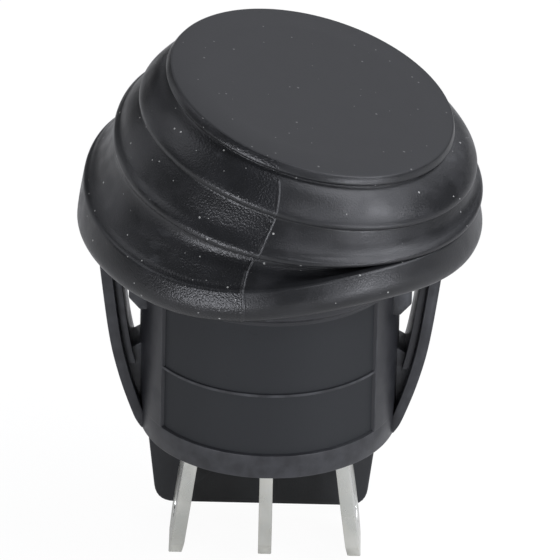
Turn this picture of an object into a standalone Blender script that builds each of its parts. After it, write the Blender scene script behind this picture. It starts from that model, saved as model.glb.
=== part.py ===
# Round rocker switch with a stepped rubber boot, built piece by piece.
# Lengths are metres. Z = 0 is the face that the panel touches, and the rocker
# turns about the Y axis at that height. X runs along the row of terminals.

import math

import bmesh
import bpy

mm = 0.001

# Clearances
seat_gap = 0.1 * mm          # between two fixed pieces that meet
running_gap = 0.1 * mm       # between a shaft and its bearing, all round
sliding_gap = 0.2 * mm       # between the plunger and its bore, all round
base_gap = 0.3 * mm          # between the base plate and the barrel
round_steps = 64             # facets round the large turned shapes
small_steps = 24             # facets round pins, rivets and bores

# Housing: barrel, bezel flange and two snap-in wings
barrel_radius = 7.65 * mm
barrel_wall = 1.15 * mm
bore_radius = barrel_radius - barrel_wall
barrel_bottom = -12.6 * mm
foot_ring_height = 1.55 * mm
label_depth = 0.2 * mm
label_half_angle = math.radians(55)
divider_height = -7.1 * mm
divider_width = 0.25 * mm
collar_radius = barrel_radius + 0.5 * mm
collar_height = 1.8 * mm
flange_radius = collar_radius + 2.35 * mm
flange_underside = 0.5 * mm
flange_thickness = 0.8 * mm
bezel_top = 2.6 * mm
bezel_wall = 1.0 * mm
shoulder_radius = collar_radius + 0.15 * mm
shoulder_bottom = -3.5 * mm
shoulder_chamfer = 0.75 * mm
shoulder_width = 5.0 * mm
wing_reach = 2.45 * mm       # from the barrel to the edge of the panel's hole
wing_width = 4.0 * mm
wing_thickness = 0.8 * mm
wing_top = -0.9 * mm
web_top = -8.0 * mm
web_rise = 1.1 * mm
web_width = 2.4 * mm
wing_root = 0.2 * mm         # how far the wing's foot starts inside the barrel
panel_hole_radius = barrel_radius + wing_reach

# Rocker, which is pressed down on the right at rest
rocker_tilt = math.radians(13.5)
trunnion_radius = 1.1 * mm
trunnion_reach = bore_radius + 0.6 * mm
head_radius = flange_radius - 3.4 * mm
head_bottom = 6.0 * mm
column_radius = bore_radius - 1.9 * mm
column_top = 2.0 * mm
column_flare = 0.4 * mm
flare_top = 4.0 * mm
column_bottom = -1.6 * mm
stem_radius = 2.2 * mm
stem_bottom = -5.6 * mm
stem_bore_radius = 1.5 * mm
stem_bore_roof = -0.6 * mm

# Terminals
terminal_pitch = bore_radius - 2.3 * mm
blade_terminal_width = 4.8 * mm
blade_terminal_thickness = 0.8 * mm
terminal_tip = -21.3 * mm
terminal_splay = math.radians(7.5)
terminal_point = 1.1 * mm    # length of the tapered tip
solder_hole_radius = 0.7 * mm
solder_hole_height = terminal_tip + 2.4 * mm
leaf_reach = 1.9 * mm

# Contact blade and contacts, stacked up from the base plate
base_top = -10.75 * mm
leaf_clearance = 0.033 * mm  # left between a terminal's leaf and the base plate
blade_tilt = math.radians(8)
blade_thickness = 0.5 * mm
blade_width = 3.2 * mm
contact_offset = terminal_pitch - 0.1 * mm
contact_radius = 1.1 * mm
contact_thickness = 0.6 * mm
contact_space = 0.2 * mm     # left between a closed pair of contacts
blade_half_length = contact_offset + 0.9 * mm
leaf_top = base_top + leaf_clearance + blade_terminal_thickness
rivet_top = leaf_top + seat_gap + contact_thickness
contact_drop = (contact_offset + contact_radius) * math.sin(blade_tilt)
contact_drop += (contact_thickness + seat_gap) * math.cos(blade_tilt)
blade_pivot = rivet_top + contact_space + contact_drop

# Plunger and its spring, along the rocker's own axis
plunger_top = -4.2 * mm
plunger_tip = blade_pivot + blade_thickness + seat_gap
tip_radius = 0.9 * mm
wire_radius = 0.16 * mm
spring_radius = stem_bore_radius - 0.4 * mm
spring_turns = 6

# Base plate with its barrier, midway between the terminals' edges and the bore
base_bottom = -12.3 * mm
slot_margin = 0.1 * mm
barrier_thickness = 1.0 * mm
barrier_middle = (blade_terminal_width / 2 + bore_radius - base_gap) / 2 - 0.2 * mm
barrier_near = barrier_middle - barrier_thickness / 2
barrier_bottom = -20.7 * mm
barrier_offset = -0.3 * mm   # the barrier sits a little towards the left terminal
barrier_top_half = barrel_radius - 0.45 * mm
barrier_low_half = barrel_radius - 1.35 * mm
barrier_corner = 1.0 * mm
barrier_neck_half = 0.43 * bore_radius
seal_radius = bore_radius - 0.6 * mm
seal_section = 0.35 * mm
seal_height = -11.5 * mm

# Boot
boot_wall = 0.9 * mm
boot_top = 9.35 * mm
boot_lip_radius = collar_radius + 0.3 * mm
boot_seat_radius = panel_hole_radius + 0.3 * mm  # inside it the rim clears the panel
boot_seat_step = 0.15 * mm
boot_lean = math.radians(4)  # the steps and the top also sit a little down at the front

palette = {
    "boot": ((0.020, 0.021, 0.023), 0.55, 0.0),
    "housing": ((0.040, 0.043, 0.048), 0.45, 0.0),
    "rocker": ((0.030, 0.031, 0.033), 0.40, 0.0),
    "base_plate": ((0.016, 0.017, 0.019), 0.50, 0.0),
    "base_seal": ((0.015, 0.015, 0.016), 0.60, 0.0),
    "tinned": ((0.62, 0.63, 0.61), 0.32, 1.0),
    "copper": ((0.72, 0.42, 0.28), 0.30, 1.0),
    "silver": ((0.86, 0.85, 0.82), 0.22, 1.0),
    "plunger": ((0.80, 0.79, 0.74), 0.45, 0.0),
    "steel": ((0.56, 0.57, 0.58), 0.28, 1.0),
}


def clear_scene():
    for item in list(bpy.data.objects):
        bpy.data.objects.remove(item, do_unlink=True)


def paint(item, key):
    colour, roughness, metallic = palette[key]
    material = bpy.data.materials.new(item.name)
    material.use_nodes = True
    shader = material.node_tree.nodes["Principled BSDF"]
    shader.inputs["Base Color"].default_value = (*colour, 1.0)
    shader.inputs["Roughness"].default_value = roughness
    shader.inputs["Metallic"].default_value = metallic
    material.diffuse_color = (*colour, 1.0)
    item.data.materials.append(material)


def place(name, mesh, key=None):
    """Put a mesh in the scene, with its material when it is a piece."""
    item = bpy.data.objects.new(name, mesh)
    bpy.context.scene.collection.objects.link(item)
    if key:
        paint(item, key)
    return item


def finish_mesh(name, shape):
    bmesh.ops.recalc_face_normals(shape, faces=shape.faces)
    mesh = bpy.data.meshes.new(name)
    shape.to_mesh(mesh)
    shape.free()
    return mesh


def turned(name, profile, steps=round_steps, key=None, start=0.0, smooth=True):
    """Turn a closed profile of (radius, height) points about the Z axis."""
    shape = bmesh.new()
    rings = []
    for radius, height in profile:
        if radius < 1e-9:
            rings.append([shape.verts.new((0, 0, height))])
            continue
        ring = []
        for step in range(steps):
            angle = start + math.tau * step / steps
            ring.append(shape.verts.new((radius * math.cos(angle), radius * math.sin(angle), height)))
        rings.append(ring)
    for low, high in zip(rings, rings[1:] + rings[:1]):
        join_rings(shape, low, high)
    item = place(name, finish_mesh(name, shape), key)
    if smooth:
        shade_round(item)
    return item


def join_rings(shape, low, high):
    if len(low) == 1 and len(high) == 1:
        return
    steps = max(len(low), len(high))
    for step in range(steps):
        after = (step + 1) % steps
        corners = [low[step % len(low)], low[after % len(low)], high[after % len(high)], high[step % len(high)]]
        unique = []
        for corner in corners:
            if corner not in unique:
                unique.append(corner)
        shape.faces.new(unique)


def shade_round(item, angle=math.radians(40)):
    """Smooth the facets and keep the real edges sharp."""
    for face in item.data.polygons:
        face.use_smooth = True
    shape = bmesh.new()
    shape.from_mesh(item.data)
    for edge in shape.edges:
        if len(edge.link_faces) == 2 and edge.calc_face_angle() > angle:
            edge.smooth = False
    shape.to_mesh(item.data)
    shape.free()


def prism(name, outline, low, high, axis="Y", key=None):
    """Extrude a closed outline along one axis, from low to high."""
    shape = bmesh.new()
    sides = []
    for level in (low, high):
        ring = []
        for first, second in outline:
            spot = {"X": (level, first, second), "Y": (first, level, second), "Z": (first, second, level)}[axis]
            ring.append(shape.verts.new(spot))
        sides.append(ring)
    shape.faces.new(sides[0])
    shape.faces.new(list(reversed(sides[1])))
    for step in range(len(outline)):
        after = (step + 1) % len(outline)
        shape.faces.new((sides[0][step], sides[1][step], sides[1][after], sides[0][after]))
    return place(name, finish_mesh(name, shape), key)


def block(name, low, high, key=None):
    outline = [(low[0], low[2]), (high[0], low[2]), (high[0], high[2]), (low[0], high[2])]
    return prism(name, outline, low[1], high[1], "Y", key)


def rod(name, radius, low, high, axis="Z", centre=(0.0, 0.0), steps=small_steps, key=None):
    outline = []
    for step in range(steps):
        angle = math.tau * (step + 0.5) / steps
        outline.append((centre[0] + radius * math.cos(angle), centre[1] + radius * math.sin(angle)))
    item = prism(name, outline, low, high, axis, key)
    shade_round(item)
    return item


def combine(item, tool, operation):
    """Join or cut with a helper shape, which stays hidden."""
    change = item.modifiers.new(tool.name, "BOOLEAN")
    change.operation = operation
    change.solver = "EXACT"
    change.object = tool
    tool.hide_render = True
    tool.display_type = "WIRE"
    tool.parent = item


def soften(item, width, segments=2, angle=math.radians(50)):
    edge = item.modifiers.new("rounded_edges", "BEVEL")
    edge.width = width
    edge.segments = segments
    edge.limit_method = "ANGLE"
    edge.angle_limit = angle


def wing_outline():
    """Section of the right-hand wing: outer face upwards, then back down inside."""
    rise = [
        (0.0, -12.5), (0.19, -11.6), (0.38, -10.2), (0.53, -8.9),
        (0.68, -7.3), (0.79, -5.6), (0.89, -3.6), (0.98, -1.7),
    ]
    foot = barrel_radius - wing_root
    outer = [(foot + share * (panel_hole_radius - foot), height * mm) for share, height in rise]
    wall_middle = barrel_radius - barrel_wall / 2
    tip = [(panel_hole_radius, wing_top - 0.2 * mm), (panel_hole_radius - 0.3 * mm, wing_top)]
    tip.append((panel_hole_radius - wing_thickness - 0.2 * mm, wing_top))
    inner = [(x - wing_thickness, z) for x, z in reversed(outer[2:])]
    inner.append((wall_middle, outer[1][1]))
    inner.append((wall_middle, outer[0][1]))
    return outer + tip + inner


def web_outline():
    """Section of the gusset that ties the wing's lower half to the barrel."""
    wall_middle = barrel_radius - barrel_wall / 2
    outside = [(0.1, -11.5), (0.6, -10.2), (1.0, -8.9)]
    outline = [(barrel_radius + out * mm, height * mm) for out, height in outside]
    outline.append((barrel_radius + 1.3 * mm, web_top))
    outline.append((wall_middle, web_top + web_rise))
    outline.append((wall_middle, outline[0][1]))
    return outline


def mirrored(outline):
    return [(-x, z) for x, z in reversed(outline)]


def make_housing():
    flange_top = flange_underside + flange_thickness
    profile = [
        (bore_radius, barrel_bottom), (barrel_radius, barrel_bottom),
        (barrel_radius, -collar_height - 0.4 * mm), (collar_radius, -collar_height),
        (collar_radius, flange_underside), (flange_radius, flange_underside),
        (flange_radius, flange_top), (bore_radius + bezel_wall, flange_top),
        (bore_radius + bezel_wall, bezel_top), (bore_radius, bezel_top),
    ]
    half_facet = math.pi / round_steps
    housing = turned("housing", profile, key="housing", start=half_facet)
    for side in (0, 1):
        combine(housing, label_cutter(side), "DIFFERENCE")
    for side in (-1, 1):
        combine(housing, shoulder(side), "UNION")
        for word, outline, width in (
            ("wing", wing_outline(), wing_width),
            ("web", web_outline(), web_width),
        ):
            if side < 0:
                outline = mirrored(outline)
            arm = prism(f"{word}_shape_{side + 1}", outline, -width / 2, width / 2)
            combine(housing, arm, "UNION")
        combine(housing, trunnion_pocket(side), "DIFFERENCE")
    return housing


def label_cutter(side):
    """A thin curved slice that sinks the label field, front or back."""
    steps = 18
    middle = -math.pi / 2 + side * math.pi
    low = barrel_bottom + foot_ring_height
    fields = [(low, divider_height - divider_width / 2)]
    fields.append((divider_height + divider_width / 2, -collar_height - 0.6 * mm))
    shape = bmesh.new()
    for bottom, top in fields:
        arcs = []
        for radius in (barrel_radius - label_depth, barrel_radius + 1.0 * mm):
            for height in (bottom, top):
                arc = []
                for step in range(steps + 1):
                    angle = middle + label_half_angle * (2 * step / steps - 1)
                    arc.append(shape.verts.new((radius * math.cos(angle), radius * math.sin(angle), height)))
                arcs.append(arc)
        inner_low, inner_high, outer_low, outer_high = arcs
        loop = [inner_low, inner_high, outer_high, outer_low]
        for one, two in zip(loop, loop[1:] + loop[:1]):
            for step in range(steps):
                shape.faces.new((one[step], one[step + 1], two[step + 1], two[step]))
        shape.faces.new([arc[0] for arc in loop])
        shape.faces.new([arc[-1] for arc in reversed(loop)])
    name = f"label_field_{side}"
    return place(name, finish_mesh(name, shape))


def shoulder(side):
    """Raised pad behind each wing, with a chamfer at its foot."""
    inside = barrel_radius - barrel_wall / 2
    outline = [
        (inside, -0.5 * mm), (inside, shoulder_bottom - shoulder_chamfer),
        (barrel_radius, shoulder_bottom - shoulder_chamfer), (shoulder_radius, shoulder_bottom),
        (shoulder_radius, -0.5 * mm),
    ]
    if side < 0:
        outline = mirrored(outline)
    return prism(f"shoulder_{side + 1}", outline, -shoulder_width / 2, shoulder_width / 2)


def trunnion_pocket(side):
    reach = trunnion_reach + running_gap
    ends = sorted((side * column_radius, side * reach))
    return rod(f"pocket_{side + 1}", trunnion_radius + running_gap, ends[0], ends[1], "Y")


def make_rocker(housing):
    head_top = boot_top - boot_wall - 0.3 * mm - head_radius * math.sin(boot_lean)
    profile = [
        (0.0, column_bottom), (column_radius, column_bottom), (column_radius, column_top),
        (column_radius + column_flare, flare_top), (head_radius, head_bottom), (head_radius, head_top - 0.3 * mm),
        (head_radius - 0.3 * mm, head_top), (0.0, head_top),
    ]
    rocker = turned("rocker", profile, steps=48, key="rocker")
    trunnions = rod("trunnions", trunnion_radius, -trunnion_reach, trunnion_reach, "Y")
    combine(rocker, trunnions, "UNION")
    combine(rocker, rod("stem", stem_radius, stem_bottom, 0.0), "UNION")
    combine(rocker, rod("stem_bore", stem_bore_radius, stem_bottom - 1.0 * mm, stem_bore_roof), "DIFFERENCE")
    rocker.rotation_euler = (0.0, rocker_tilt, 0.0)
    rocker.parent = housing
    return rocker


def make_plunger(rocker):
    radius = stem_bore_radius - sliding_gap
    centre = plunger_tip + tip_radius
    profile = [(0.0, plunger_top), (radius, plunger_top), (radius, stem_bottom - 0.2 * mm), (tip_radius, centre)]
    rounds = 5
    for step in range(1, rounds):
        angle = math.pi / 2 * step / rounds
        profile.append((tip_radius * math.cos(angle), centre - tip_radius * math.sin(angle)))
    profile.append((0.0, plunger_tip))
    plunger = turned("plunger", profile, steps=small_steps, key="plunger")
    plunger.parent = rocker
    return plunger


def make_spring(rocker):
    """Coil between the roof of the bore and the plunger."""
    low = plunger_top + wire_radius + seat_gap
    high = stem_bore_roof - wire_radius - seat_gap
    steps_per_turn = 14
    sides = 6
    count = spring_turns * steps_per_turn
    pitch = (high - low) / spring_turns
    slope = math.atan2(pitch, math.tau * spring_radius)
    shape = bmesh.new()
    rings = []
    for step in range(count + 1):
        angle = math.tau * step / steps_per_turn
        height = low + (high - low) * step / count
        ring = []
        for side in range(sides):
            turn = math.tau * side / sides
            out = spring_radius + wire_radius * math.cos(turn)
            up = wire_radius * math.sin(turn)
            along = -up * math.sin(slope)
            x = out * math.cos(angle) - along * math.sin(angle)
            y = out * math.sin(angle) + along * math.cos(angle)
            ring.append(shape.verts.new((x, y, height + up * math.cos(slope))))
        rings.append(ring)
    for one, two in zip(rings, rings[1:]):
        join_rings(shape, one, two)
    shape.faces.new(rings[0])
    shape.faces.new(list(reversed(rings[-1])))
    spring = place("spring", finish_mesh("spring", shape), "steel")
    shade_round(spring)
    spring.parent = rocker
    return spring


def make_blade(housing):
    half = blade_width / 2
    blade = block(
        "contact_blade",
        (-blade_half_length, -half, 0.0),
        (blade_half_length, half, blade_thickness),
        "copper",
    )
    blade.location = (0.0, 0.0, blade_pivot)
    blade.rotation_euler = (0.0, -blade_tilt, 0.0)
    blade.parent = housing
    for side, word in ((-1, "left"), (1, "right")):
        button = rod(
            f"moving_contact_{word}",
            contact_radius,
            -contact_thickness - seat_gap,
            -seat_gap,
            centre=(side * contact_offset, 0.0),
            key="silver",
        )
        button.parent = blade
    return blade


def make_fixed_contacts(housing):
    for side, word in ((-1, "left"), (1, "right")):
        rivet = rod(
            f"fixed_contact_{word}",
            contact_radius,
            rivet_top - contact_thickness,
            rivet_top,
            centre=(side * contact_offset, 0.0),
            key="silver",
        )
        rivet.parent = housing


def splayed_strip(side):
    """Outline of a side terminal: leaf, upright and splayed tail."""
    half = blade_terminal_thickness / 2
    leaf_low = leaf_top - blade_terminal_thickness
    bend = base_bottom - 0.3 * mm
    drift = (bend - terminal_tip) * math.tan(terminal_splay)
    near = terminal_pitch - half
    far = terminal_pitch + half
    outline = [
        (near - leaf_reach, leaf_top), (far, leaf_top), (far, bend), (far + drift, terminal_tip),
        (near + drift, terminal_tip), (near, bend), (near, leaf_low), (near - leaf_reach, leaf_low),
    ]
    return outline if side > 0 else mirrored(outline)


def tip_taper(name, reach):
    """Two wedges that narrow the terminal's tip in the Y direction."""
    wide = blade_terminal_width / 2
    shape_low = terminal_tip - 1.0 * mm
    outline = [
        (wide - 1.0 * mm, shape_low), (wide - 1.0 * mm, terminal_tip),
        (wide, terminal_tip + terminal_point), (wide + 1.0 * mm, terminal_tip + terminal_point),
        (wide + 1.0 * mm, shape_low),
    ]
    return prism(name, outline, reach[0], reach[1], "X")


def shape_tail(item, name, reach):
    """Taper both edges of the tip and drill the solder hole."""
    for side in (-1, 1):
        wedge = tip_taper(f"{name}_taper_{side + 1}", reach)
        wedge.scale = (1.0, side, 1.0)
        combine(item, wedge, "DIFFERENCE")
    hole = rod(
        f"{name}_hole",
        solder_hole_radius,
        reach[0],
        reach[1],
        "X",
        centre=(0.0, solder_hole_height),
        steps=16,
    )
    combine(item, hole, "DIFFERENCE")


def make_side_terminals(housing):
    half = blade_terminal_width / 2
    for side, word in ((-1, "left"), (1, "right")):
        name = f"terminal_{word}"
        terminal = prism(name, splayed_strip(side), -half, half, "Y", "tinned")
        ends = sorted((side * terminal_pitch / 2, side * 2 * terminal_pitch))
        shape_tail(terminal, name, ends)
        terminal.parent = housing


def make_middle_terminal(housing):
    """The middle terminal ends in a notch whose floor carries the blade."""
    half = blade_terminal_width / 2
    notch = blade_width / 2 + seat_gap
    floor = blade_pivot - seat_gap
    prong = blade_pivot + blade_thickness + 0.5 * mm
    outline = [
        (-half, terminal_tip), (half, terminal_tip), (half, prong), (notch, prong),
        (notch, floor), (-notch, floor), (-notch, prong), (-half, prong),
    ]
    thick = blade_terminal_thickness / 2
    terminal = prism("terminal_middle", outline, -thick, thick, "X", "tinned")
    reach = 2 * blade_terminal_thickness
    shape_tail(terminal, "terminal_middle", (-reach, reach))
    terminal.parent = housing


def barrier_outline():
    low = barrier_bottom
    neck = barrier_neck_half
    under = barrel_bottom - 0.2 * mm
    right = [
        (neck, base_bottom + 0.3 * mm), (neck, under), (barrier_top_half, under),
        (barrier_low_half + 0.35 * mm, low + 1.2 * barrier_corner),
        (barrier_low_half + 0.05 * mm, low + 0.65 * barrier_corner),
        (barrier_low_half - 0.35 * mm, low + 0.25 * barrier_corner),
        (barrier_low_half - barrier_corner, low),
    ]
    outline = right + mirrored(right)
    for number, (x, z) in enumerate(outline):
        if z <= under:
            outline[number] = (x + barrier_offset, z)
    return outline


def make_base(housing):
    radius = bore_radius - base_gap
    groove = seal_section + seat_gap
    inner = seal_radius - seal_section - seat_gap
    profile = [
        (0.0, base_bottom), (radius, base_bottom), (radius, seal_height - groove),
        (inner, seal_height - groove), (inner, seal_height + groove), (radius, seal_height + groove),
        (radius, base_top), (0.0, base_top),
    ]
    base = turned("base_plate", profile, key="base_plate")
    barrier = prism("barrier", barrier_outline(), barrier_near, barrier_near + barrier_thickness)
    combine(base, barrier, "UNION")
    reach_x = blade_terminal_thickness / 2 + slot_margin
    reach_y = blade_terminal_width / 2 + slot_margin
    for number, place_x in enumerate((-terminal_pitch, 0.0, terminal_pitch)):
        slot = block(
            f"slot_{number}",
            (place_x - reach_x, -reach_y, base_bottom - 1.0 * mm),
            (place_x + reach_x, reach_y, base_top + 1.0 * mm),
        )
        combine(base, slot, "DIFFERENCE")
    base.parent = housing
    return base


def make_seal(base):
    sides = 8
    profile = []
    for step in range(sides):
        angle = math.tau * (step + 0.5) / sides
        profile.append((seal_radius + seal_section * math.cos(angle), seal_height + seal_section * math.sin(angle)))
    seal = turned("base_seal", profile, steps=48, key="base_seal")
    seal.parent = base
    return seal


def boot_profile():
    """Points of the boot wall: radius, height, share of the rocker's tilt, and
    how far the wall is pulled out on the raised side. The radii are given from
    the flange's edge, which the rim wraps round."""
    outside = [
        (0.6, 0, 0, 0), (1.1, 0.25, 0, 0), (1.4, 0.7, 0, 0), (1.5, 1.15, 0, 0), (1.4, 1.55, 0, 0),
        (1.1, 1.8, 0, 0.1), (0.6, 1.98, 0.03, 0.5), (-0.1, 2.35, 0.12, 1.1),
        (-0.75, 3.2, 0.38, 1.65), (-0.85, 3.85, 0.62, 1.6), (-0.2, 4.45, 0.8, 0.8),
        (0.35, 4.8, 0.9, 0.15), (0.5, 5.15, 1, 0), (0.25, 5.55, 1, 0), (-0.55, 5.9, 1, 0),
        (-1.35, 6.2, 1, 0), (-1.5, 6.45, 1, 0), (-0.9, 6.55, 1, 0), (-0.5, 6.95, 1, 0),
        (-0.5, 7.25, 1, 0), (-0.85, 7.7, 1, 0), (-1.7, 8.12, 1, 0), (-2.2, 8.36, 1, 0),
        (-2.2, 8.6, 1, 0), (-1.9, 8.75, 1, 0), (-1.8, 9.05, 1, 0),
    ]
    inside = [
        (-3.1, 7.95, 1, 0), (-1.6, 7.2, 1, 0), (-1.6, 6.95, 1, 0), (-2.4, 6.7, 1, 0),
        (-2.4, 5.8, 1, 0), (-0.6, 5.3, 0.98, 0), (-0.6, 5.1, 0.92, 0.2), (-1.7, 4.3, 0.7, 1.5),
        (-1.7, 3.1, 0.42, 1.5), (-1.2, 1.75, 0.05, 0.7),
    ]
    roof = flange_underside + flange_thickness + 2 * seat_gap
    floor = flange_underside - seat_gap
    groove = flange_radius + 2 * seat_gap
    outer = [(flange_radius + r * mm, h * mm, share, pull * mm) for r, h, share, pull in outside]
    inner = [(flange_radius + r * mm, h * mm, share, pull * mm) for r, h, share, pull in inside]
    lip = [(boot_lip_radius, floor, 0, 0), (boot_lip_radius, boot_seat_step, 0, 0)]
    lip += [(boot_seat_radius - boot_seat_step, boot_seat_step, 0, 0), (boot_seat_radius, 0.0, 0, 0)]
    ceiling = boot_top - boot_wall
    crown = [(flange_radius - 2.0 * mm, boot_top, 1, 0), (0.0, boot_top, 1, 0)]
    crown += [(0.0, ceiling, 1, 0), (flange_radius - 3.1 * mm, ceiling, 1, 0)]
    around_flange = [(groove, roof, 0, 0), (groove, floor, 0, 0)]
    return outer + crown + inner + around_flange + lip


def boot_spot(angle, radius, height, share, pull):
    """One point of the boot at rest, leaning with the rocker by its share."""
    raised = max(0.0, -math.cos(angle))
    radius += pull * raised
    x = radius * math.cos(angle)
    y = radius * math.sin(angle)
    lean = boot_lean * share
    lifted = height + y * math.sin(lean)
    y *= math.cos(lean)
    tilt = rocker_tilt * share
    return (
        x * math.cos(tilt) + lifted * math.sin(tilt),
        y,
        lifted * math.cos(tilt) - x * math.sin(tilt),
    )


def make_boot(housing):
    """Bellows that stand upright at the rim and lean with the rocker above it."""
    shape = bmesh.new()
    rings = []
    for point in boot_profile():
        count = round_steps if point[0] > 0 else 1
        rings.append([shape.verts.new(boot_spot(math.tau * step / count, *point)) for step in range(count)])
    for low, high in zip(rings, rings[1:] + rings[:1]):
        join_rings(shape, low, high)
    boot = place("boot", finish_mesh("boot", shape), "boot")
    shade_round(boot)
    boot.parent = housing
    return boot


clear_scene()
housing = make_housing()
rocker = make_rocker(housing)
make_plunger(rocker)
make_spring(rocker)
make_blade(housing)
make_fixed_contacts(housing)
make_side_terminals(housing)
make_middle_terminal(housing)
make_seal(make_base(housing))
make_boot(housing)
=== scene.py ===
# Dressed view of a round rocker switch under a rubber boot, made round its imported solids.
# Lengths are metres and angles in the dictionaries are degrees.
import math

import bmesh
import bpy
from mathutils import Matrix, Vector


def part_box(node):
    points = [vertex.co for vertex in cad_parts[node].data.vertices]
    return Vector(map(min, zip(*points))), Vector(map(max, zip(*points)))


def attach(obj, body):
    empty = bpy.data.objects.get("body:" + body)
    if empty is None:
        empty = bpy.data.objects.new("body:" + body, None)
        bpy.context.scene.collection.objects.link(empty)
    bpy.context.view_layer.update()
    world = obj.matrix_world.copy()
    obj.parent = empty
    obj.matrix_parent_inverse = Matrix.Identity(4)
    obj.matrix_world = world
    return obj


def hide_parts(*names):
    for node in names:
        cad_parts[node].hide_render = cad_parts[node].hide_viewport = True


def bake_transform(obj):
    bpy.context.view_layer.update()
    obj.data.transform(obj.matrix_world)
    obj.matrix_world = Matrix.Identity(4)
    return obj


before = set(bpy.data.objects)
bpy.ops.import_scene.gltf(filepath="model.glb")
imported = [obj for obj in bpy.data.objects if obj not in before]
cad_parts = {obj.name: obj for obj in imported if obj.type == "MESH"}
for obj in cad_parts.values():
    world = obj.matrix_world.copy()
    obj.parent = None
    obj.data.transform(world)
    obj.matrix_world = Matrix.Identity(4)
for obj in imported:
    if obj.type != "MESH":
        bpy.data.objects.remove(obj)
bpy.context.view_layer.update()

scene = bpy.context.scene
mm = 0.001
print("frame loaded with", len(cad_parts), "solids")


# Helpers for node trees

def newGroup(name, ins, outs, kind="ShaderNodeTree"):
    # each socket's name with its kind, or with the number that a float starts at
    group = bpy.data.node_groups.new(name, kind)
    for side, sockets in (("INPUT", ins), ("OUTPUT", outs)):
        for label, value in sockets.items():
            isNumber = isinstance(value, float)
            socketKind = "NodeSocketFloat" if isNumber else "NodeSocket" + value
            socket = group.interface.new_socket(name=label, in_out=side, socket_type=socketKind)
            if isNumber:
                socket.default_value = value
    return group, group.nodes.new("NodeGroupInput"), group.nodes.new("NodeGroupOutput")


def feed(tree, socket, value):
    # a node's output is linked, anything else is set
    if hasattr(value, "links"):
        tree.links.new(value, socket)
    else:
        socket.default_value = value


def put(tree, kind, settings=None, **values):
    # a new node; each value goes to the socket of its name, with _ for a space
    node = tree.nodes.new(kind)
    for key, value in (settings or {}).items():
        setattr(node, key, value)
    for key, value in values.items():
        feed(tree, node.inputs[key.replace("_", " ")], value)
    return node


def math2(tree, operation, first, second=0.0, clamp=False):
    node = put(tree, "ShaderNodeMath", {"operation": operation, "use_clamp": clamp})
    for socket, value in zip(node.inputs, (first, second)):
        feed(tree, socket, value)
    return node.outputs[0]


def times(tree, first, second, clamp=False):
    return math2(tree, "MULTIPLY", first, second, clamp)


def ramp(tree, value, low, high, start=0.0, stop=1.0):
    node = put(tree, "ShaderNodeMapRange", {"interpolation_type": "SMOOTHSTEP"}, Value=value,
               From_Min=low, From_Max=high, To_Min=start, To_Max=stop)
    return node.outputs["Result"]


# Camera, lamps and floor

cameraSet = {
    "elevation": 28.2,
    "roll": 1.3,
    "distance": 0.5,
    "aim": (0.0, 0.0, -0.0026),
    "lens": 546.4,
    "sensor": 36.0,
    "shift": (0.01607, -0.02286),
    "nearest": 0.01,
}


def placeCamera(look):
    tilt, roll = math.radians(look["elevation"]), math.radians(look["roll"])
    forward = Vector((0, math.cos(tilt), -math.sin(tilt)))
    above = Vector((0, math.sin(tilt), math.cos(tilt)))
    across = Vector((1, 0, 0))
    side = across * math.cos(roll) + above * math.sin(roll)
    upright = above * math.cos(roll) - across * math.sin(roll)
    turn = Matrix((side, upright, -forward)).transposed().to_4x4()
    turn.translation = Vector(look["aim"]) - forward * look["distance"]
    camera = bpy.data.objects.new("photoCamera", bpy.data.cameras.new("photoCamera"))
    scene.collection.objects.link(camera)
    camera.matrix_world = turn
    camera.data.sensor_width = look["sensor"]
    camera.data.lens = look["lens"]
    camera.data.shift_x, camera.data.shift_y = look["shift"]
    camera.data.clip_start = look["nearest"]
    scene.camera = camera


lampColour = (0.96, 0.975, 1.05)
lampSet = {
    "back": {"at": (0.10, 0.44, 0.34), "size": (0.74, 0.50), "power": 1.34},
    "aboveRight": {"at": (0.27, 0.02, 0.44), "size": (0.30, 0.34), "power": 1.30},
    "front": {"at": (0.15, -0.37, 0.30), "size": (0.16, 0.10), "power": 0.30},
    "leftAbove": {"at": (-0.36, 0.04, 0.34), "size": (0.26, 0.28), "power": 0.30},
    "leftBack": {"at": (-0.42, 0.20, 0.08), "size": (0.20, 0.20), "power": 0.12},
    "leftFront": {"at": (-0.30, -0.40, 0.03), "size": (0.26, 0.10), "power": 0.95},
    "rightFront": {"at": (0.34, -0.33, 0.005), "size": (0.26, 0.04), "power": 0.85},
    "right": {"at": (0.39, -0.17, 0.29), "size": (0.24, 0.16), "power": 1.00},
}


def addLamps(lamps):
    for name, lamp in lamps.items():
        light = bpy.data.lights.new(name, "AREA")
        light.shape = "RECTANGLE"
        light.size, light.size_y = lamp["size"]
        light.energy = lamp["power"]
        light.color = lampColour
        item = bpy.data.objects.new(name, light)
        item.location = lamp["at"]
        item.rotation_euler = (-Vector(lamp["at"])).to_track_quat("-Z", "Y").to_euler()
        scene.collection.objects.link(item)


roomSet = {
    "fill": 0.06,
    "floorSize": 1.6,
    "floorColour": (0.6, 0.6, 0.6),
    "floorRoughness": 0.9,
    "floorShine": 0.1,
    "floorShow": 0.9,
    "floorGloss": 0.3,
    "glow": 1.06,
}


def seenDirectly(tree, path):
    return math2(tree, "MAXIMUM", path.outputs["Is Camera Ray"], path.outputs["Is Transmission Ray"])


def makeWorld(room):
    # white where the camera sees it, and a weak fill light for everything else
    world = bpy.data.worlds.new("studio")
    scene.world = world
    world.use_nodes = True
    tree = world.node_tree
    direct = seenDirectly(tree, tree.nodes.new("ShaderNodeLightPath"))
    strength = put(tree, "ShaderNodeMapRange", Value=direct, To_Min=room["fill"], To_Max=1.0)
    back = tree.nodes["Background"]
    feed(tree, back.inputs["Color"], (1, 1, 1, 1))
    feed(tree, back.inputs["Strength"], strength.outputs["Result"])


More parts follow.
